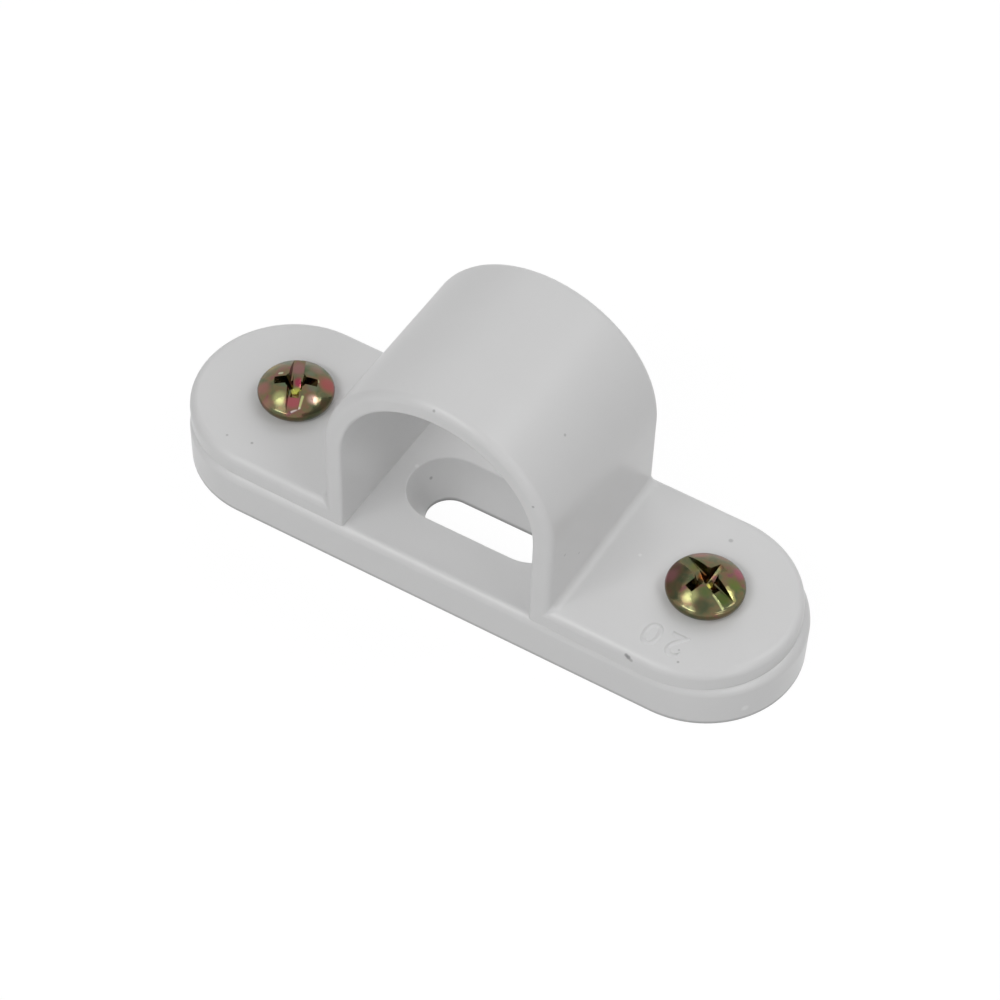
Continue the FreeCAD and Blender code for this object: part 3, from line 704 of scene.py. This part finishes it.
brassLook = {
    "base": "#B89A58",
    "tarnish": "#8E7440",
    "tarnishSize": 1.6,      # mm
    "toolPitch": 0.06,       # mm between turning marks, coarser than real ones so that they show
    "toolDepth": 0.003,      # mm
    "roughness": 0.32,
}
insertForm = {
    # mm, from the insert's lower face up
    "radius": 2.8, "length": 4.0, "bore": 2.03, "chamfer": 0.25,
    "groove": (1.55, 2.45, 0.3, 0.1),   # from, to, depth, slope of its walls
    "knurlDepth": 0.12, "knurlTeeth": 40,
    "level": 0.2,
    "sharpAngle": 25,                   # degrees
}
wavePeriod = 0.314   # a Wave texture's ring spacing at a scale of 1


def turnedBrass(name, look, middle):
    # free-cutting brass, turned and knurled: warm yellow metal with fine rings from the tool, slightly dulled
    material, tree, place, output = newMaterial(name)
    centred = addNode(tree, "ShaderNodeMapping",
                      inputs={"Vector": place, "Location": (-middle[0], -middle[1], 0)})
    dull = addNode(tree, "ShaderNodeTexNoise",
                   inputs={"Vector": centred.outputs["Vector"], "Scale": 1 / look["tarnishSize"],
                           "Detail": 3.0})
    tint = addNode(tree, "ShaderNodeMix", {"data_type": "RGBA"},
                   {mixFactor: dull.outputs["Fac"], mixFirst: linearColour(look["base"]),
                    mixSecond: linearColour(look["tarnish"])})
    rings = addNode(tree, "ShaderNodeTexWave", {"wave_type": "RINGS", "rings_direction": "Z"},
                    {"Vector": centred.outputs["Vector"], "Scale": wavePeriod / look["toolPitch"],
                     "Distortion": 0.2})
    bump = addNode(tree, "ShaderNodeBump",
                   inputs={"Height": rings.outputs["Fac"], "Distance": mm(look["toolDepth"])})
    shader = addNode(tree, "ShaderNodeBsdfPrincipled",
                     inputs={"Base Color": tint.outputs[mixResult], "Metallic": 1.0,
                             "Roughness": look["roughness"], "Normal": bump.outputs["Normal"]})
    tree.links.new(shader.outputs["BSDF"], output.inputs["Surface"])
    return material


def insertBody():
    form = insertForm
    radius, bore, top, chamfer = form["radius"], form["bore"], form["length"], form["chamfer"]
    low, high, depth, slope = form["groove"]
    bm = bmesh.new()
    first = bm.verts.new((bore, 0, chamfer))
    last = profileLine(bm, first, [(bore + chamfer, 0), (radius - chamfer, 0), (radius, chamfer),
                                   (radius, low - slope), (radius - depth, low), (radius - depth, high),
                                   (radius, high + slope), (radius, top - chamfer),
                                   (radius - chamfer, top), (bore + chamfer, top),
                                   (bore, top - chamfer)])
    bm.edges.new((last, first))
    turnedBody(bm, 2 * form["knurlTeeth"])
    # every second row of the outside goes in, which leaves the teeth of a straight knurl
    valleys = [vert for vert in bm.verts if math.hypot(vert.co.x, vert.co.y) > radius - roundTolerance
               and round(math.degrees(math.atan2(vert.co.y, vert.co.x)) * form["knurlTeeth"] / 180) % 2]
    share = 1 - form["knurlDepth"] / radius
    bmesh.ops.scale(bm, verts=valleys, vec=(share, share, 1))
    return bm


for node, (x, y) in zip(("insert_left", "insert_right"), baseForm["screwPlaces"]):
    side = node.split("_")[1].capitalize()
    brass = turnedBrass("turnedBrass" + side, brassLook, (x, y))
    piece = finishedPiece(insertBody(), "brassInsert" + side, (x, y, insertForm["level"]), 0,
                          insertForm["sharpAngle"], brass)
    declare(piece, node)

# Floor, world, lamps and camera

stageLook = {
    "floorReach": 3.0,        # m
    "floorColour": "#D4D4D4", "floorShade": "#D0D0D0",
    "fibreSize": 1.25,        # mm
    "shadowShare": 0.09,      # how much of the real shadow the camera sees
    "floorGlow": 1.06,        # with that share it makes an open floor just white
    "ambient": 0.13,
}
softboxes = {
    # azimuth, elevation (degrees), share of the light on a level face, width, height (m), seen in gloss
    "keyLeft": (-18, 46, 0.11, 0.46, 0.15, True),
    "stripLeft": (-28, 45, 0.05, 0.26, 0.7, True),
    "highLeft": (-54, 60, 0.04, 0.25, 0.28, True),
    "rimRight": (66, 18, 0.02, 0.3, 0.2, True),
    "rightSide": (75, 43, 0.05, 0.36, 0.16, True),
    "backRightHigh": (127, 53, 0.085, 0.24, 0.3, True),
    "frontFill": (11, 46, 0.1, 0.34, 0.34, False),
    "frontLow": (4, 28, 0.032, 0.34, 0.34, False),
    "backdrop": (180, 30, 0.205, 1.4, 0.7, False),
}
lampDistance = 1.0   # m
shot = {
    "azimuth": 29.04, "elevation": 49.87, "roll": 2.098,  # degrees
    "distance": 277.09,                                  # mm
    "aim": (-0.813, 2.867, 2.446),                       # mm
    "lens": 103.622, "sensor": 36,                       # mm
    "clip": (0.01, 20),                                  # m
}
white = linearColour("#FFFFFF")


def direction(azimuth, elevation):
    # towards a lamp or the camera: azimuth 0 is in front, at -Y, and 90 at +X
    turn, rise = math.radians(azimuth), math.radians(elevation)
    return Vector((math.sin(turn) * math.cos(rise), -math.cos(turn) * math.cos(rise), math.sin(rise)))


def seenDirectly(tree):
    # 1 for what the camera sees itself, in gloss or through glass, and 0 for light that falls on things
    rays = addNode(tree, "ShaderNodeLightPath")
    cameraOrGloss = addNode(tree, "ShaderNodeMath", {"operation": "MAXIMUM"},
                            {0: rays.outputs["Is Camera Ray"], 1: rays.outputs["Is Glossy Ray"]})
    seen = addNode(tree, "ShaderNodeMath", {"operation": "MAXIMUM"},
                   {0: cameraOrGloss.outputs[0], 1: rays.outputs["Is Transmission Ray"]})
    return seen.outputs[0]


def paleFloor():
    # matt photographer's paper: the camera sees it near white, with the object's shadow kept faint
    bm = bmesh.new()
    bmesh.ops.create_grid(bm, x_segments=1, y_segments=1, size=stageLook["floorReach"])
    mesh = toMesh(bm, "floor")
    floor = link(bpy.data.objects.new("floor", mesh))
    material, tree, place, output = newMaterial("mattPaper")
    fibre = addNode(tree, "ShaderNodeTexNoise",
                    inputs={"Vector": place, "Scale": 1 / stageLook["fibreSize"], "Detail": 4.0})
    tint = addNode(tree, "ShaderNodeMix", {"data_type": "RGBA"},
                   {mixFactor: fibre.outputs["Fac"], mixFirst: linearColour(stageLook["floorColour"]),
                    mixSecond: linearColour(stageLook["floorShade"])})
    paper = addNode(tree, "ShaderNodeBsdfDiffuse", inputs={"Color": tint.outputs[mixResult]})
    bright = addNode(tree, "ShaderNodeEmission", inputs={"Color": white, "Strength": stageLook["floorGlow"]})
    share = addNode(tree, "ShaderNodeMath", {"operation": "MULTIPLY"},
                    {0: seenDirectly(tree), 1: 1 - stageLook["shadowShare"]})
    both = addNode(tree, "ShaderNodeMixShader",
                   inputs={0: share.outputs[0], 1: paper.outputs[0], 2: bright.outputs[0]})
    tree.links.new(both.outputs[0], output.inputs["Surface"])
    mesh.materials.append(material)


def studioWorld():
    world = bpy.data.worlds.new("studio")
    world.use_nodes = True
    tree = world.node_tree
    tree.nodes.clear()
    soft = addNode(tree, "ShaderNodeBackground", inputs={"Color": white, "Strength": stageLook["ambient"]})
    plain = addNode(tree, "ShaderNodeBackground", inputs={"Color": white, "Strength": 1.0})
    both = addNode(tree, "ShaderNodeMixShader",
                   inputs={0: seenDirectly(tree), 1: soft.outputs[0], 2: plain.outputs[0]})
    output = addNode(tree, "ShaderNodeOutputWorld")
    tree.links.new(both.outputs[0], output.inputs["Surface"])
    bpy.context.scene.world = world


def softbox(name, azimuth, elevation, share, width, height, inGloss):
    # share is what the lamp alone gives a level white face, where 1 is white
    toLamp = direction(azimuth, elevation)
    light = bpy.data.lights.new(name, "AREA")
    light.shape = "RECTANGLE"
    light.size, light.size_y = width, height
    light.energy = share * math.pi ** 2 * lampDistance ** 2 / toLamp.z
    lamp = link(bpy.data.objects.new(name, light))
    lamp.rotation_euler = toLamp.to_track_quat("Z", "Y").to_euler()
    lamp.location = toLamp * lampDistance
    lamp.visible_glossy = inGloss   # the fills stay out of the metal's reflections


def photoCamera():
    back = direction(shot["azimuth"], shot["elevation"])
    turn = math.radians(shot["azimuth"])
    level = Vector((math.cos(turn), math.sin(turn), 0))
    upright = back.cross(level)
    roll = math.radians(shot["roll"])
    right = math.cos(roll) * level + math.sin(roll) * upright
    up = math.cos(roll) * upright - math.sin(roll) * level
    data = bpy.data.cameras.new("photoCamera")
    data.lens = shot["lens"]
    data.sensor_width = shot["sensor"]
    data.clip_start, data.clip_end = shot["clip"]
    camera = link(bpy.data.objects.new("photoCamera", data))
    turned = Matrix((right, up, back)).transposed().to_4x4()
    eye = (Vector(shot["aim"]) + back * shot["distance"]) / millimetresPerMetre
    camera.matrix_world = Matrix.Translation(eye) @ turned
    bpy.context.scene.camera = camera


paleFloor()
studioWorld()
for name, settings in softboxes.items():
    softbox(name, *settings)
photoCamera()
bpy.context.scene.view_settings.view_transform = "Standard"
print("stage, lamps and camera ready")
